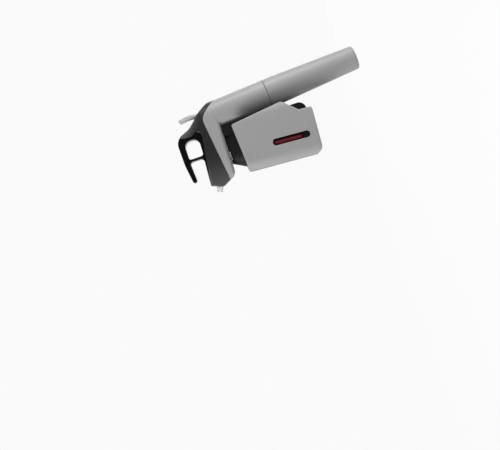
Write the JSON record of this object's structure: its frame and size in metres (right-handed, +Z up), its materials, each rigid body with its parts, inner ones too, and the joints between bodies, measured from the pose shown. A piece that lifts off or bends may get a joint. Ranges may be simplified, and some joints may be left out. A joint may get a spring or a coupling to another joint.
{
  "type": "wine preservation dispenser",
  "caption": "Hand-held wine preservation dispenser: needle head with hooked handle, trigger and pouring spout, capsule cup, and a sprung clamp with two grey arms.",
  "frame": {"origin": "on the bottle neck's axis, in the plane where the bottle's lip seats", "axes": "+Z up along the neck out of the bottle, -X towards the spout, +X towards the capsule cup, -Y to the left arm"},
  "size_m": [0.1102, 0.0602, 0.2208],
  "materials": {
    "housing_grey": "satin warm grey",
    "arm_grey": "satin warm grey",
    "cover_charcoal": "satin charcoal",
    "inlay_black": "polished black",
    "clamp_black": "fine matt black",
    "rail_black": "smooth black",
    "grip_red": "dark red elastomer",
    "soft_black": "black elastomer",
    "trigger_silver": "satin silver",
    "steel": "stainless steel",
    "capsule_steel": "plated steel",
    "regulator_metal": "turned aluminium",
    "valve_brass": "turned brass",
    "spout_clear": "pale polymer",
    "bush_polymer": "low-friction polymer"
  },
  "bodies": {
    "clamp": {"clamp_base": "clamp_black", "needle_bush": "bush_polymer", "lip_pad": "soft_black", "neck_rest": "soft_black", "hinge_pins": "steel", "arm_springs": "steel"},
    "head": {"head_housing": "housing_grey", "grip_cover": "cover_charcoal", "grip_inlay": "inlay_black", "slide_rail": "rail_black", "rail_screws": "steel", "cover_screws": "steel", "regulator_body": "regulator_metal", "regulator_cap": "regulator_metal", "regulator_spring": "steel", "piercing_pin": "steel", "capsule_seal": "soft_black", "valve_body": "valve_brass", "valve_spring": "steel", "gas_tube": "steel", "needle_hub": "regulator_metal", "needle": "steel", "spout_tube": "spout_clear", "spout_seal": "soft_black", "trigger_pin": "steel"},
    "left_arm": {"left_arm_shell": "arm_grey", "left_arm_liner": "clamp_black", "left_grip_pad": "grip_red", "left_arm_screws": "steel"},
    "right_arm": {"right_arm_shell": "arm_grey", "right_arm_liner": "clamp_black", "right_grip_pad": "grip_red", "right_arm_screws": "steel"},
    "trigger": {"trigger": "trigger_silver"},
    "valve_spool": {"valve_spool": "steel"},
    "regulator_piston": {"regulator_piston": "valve_brass"},
    "capsule": {"argon_capsule": "capsule_steel"},
    "cup_pad": {"cup_pad": "soft_black"},
    "cup": {"capsule_cup": "housing_grey"}
  },
  "joints": [
    {"name": "head_slide", "type": "slide", "parent": "clamp", "child": "head", "axis": [0, 0, 1], "range_m": [0, 0.06]},
    {"name": "left_arm_hinge", "type": "hinge", "parent": "clamp", "child": "left_arm", "pos_m": [0.027, -0.019, 0], "axis": [0, 0, 1], "range_deg": [0, 18], "stiffness_Nm_per_rad": 0.6, "springref_deg": -17.19},
    {"name": "right_arm_hinge", "type": "hinge", "parent": "clamp", "child": "right_arm", "pos_m": [0.027, 0.019, 0], "axis": [0, 0, -1], "range_deg": [0, 18], "stiffness_Nm_per_rad": 0.6, "springref_deg": -17.19},
    {"name": "trigger_hinge", "type": "hinge", "parent": "head", "child": "trigger", "pos_m": [0.0532, 0, 0.027], "axis": [0, -1, 0], "range_deg": [0, 12], "stiffness_Nm_per_rad": 0.7, "springref_deg": -6.88},
    {"name": "valve_slide", "type": "slide", "parent": "head", "child": "valve_spool", "axis": [0.075, 0, -0.9972], "range_m": [0, 0.0011], "deforming": ["valve_spring"]},
    {"name": "regulator_piston_slide", "type": "slide", "parent": "head", "child": "regulator_piston", "axis": [-0.075, 0, 0.9972], "range_m": [0, 0.0008], "stiffness_N_per_m": 4000, "springref_m": -0.001, "deforming": ["regulator_spring"]},
    {"name": "capsule_travel", "type": "slide", "parent": "head", "child": "capsule", "axis": [0.075, 0, -0.9972], "range_m": [0, 0.006]},
    {"name": "cup_off", "type": "slide", "parent": "capsule", "child": "cup_pad", "axis": [0.075, 0, -0.9972], "range_m": [0, 0.13]},
    {"name": "cup_turn", "type": "hinge", "parent": "cup_pad", "child": "cup", "pos_m": [0.0565, 0, -0.07972], "axis": [0.075, 0, -0.9972], "range_deg": [0, 1080]}
  ],
  "couplings": [
    {"joint": "valve_slide", "follows": "trigger_hinge", "m_per_rad": 0.0048},
    {"joint": "capsule_travel", "follows": "cup_turn", "m_per_rad": 0.00031831}
  ]
}
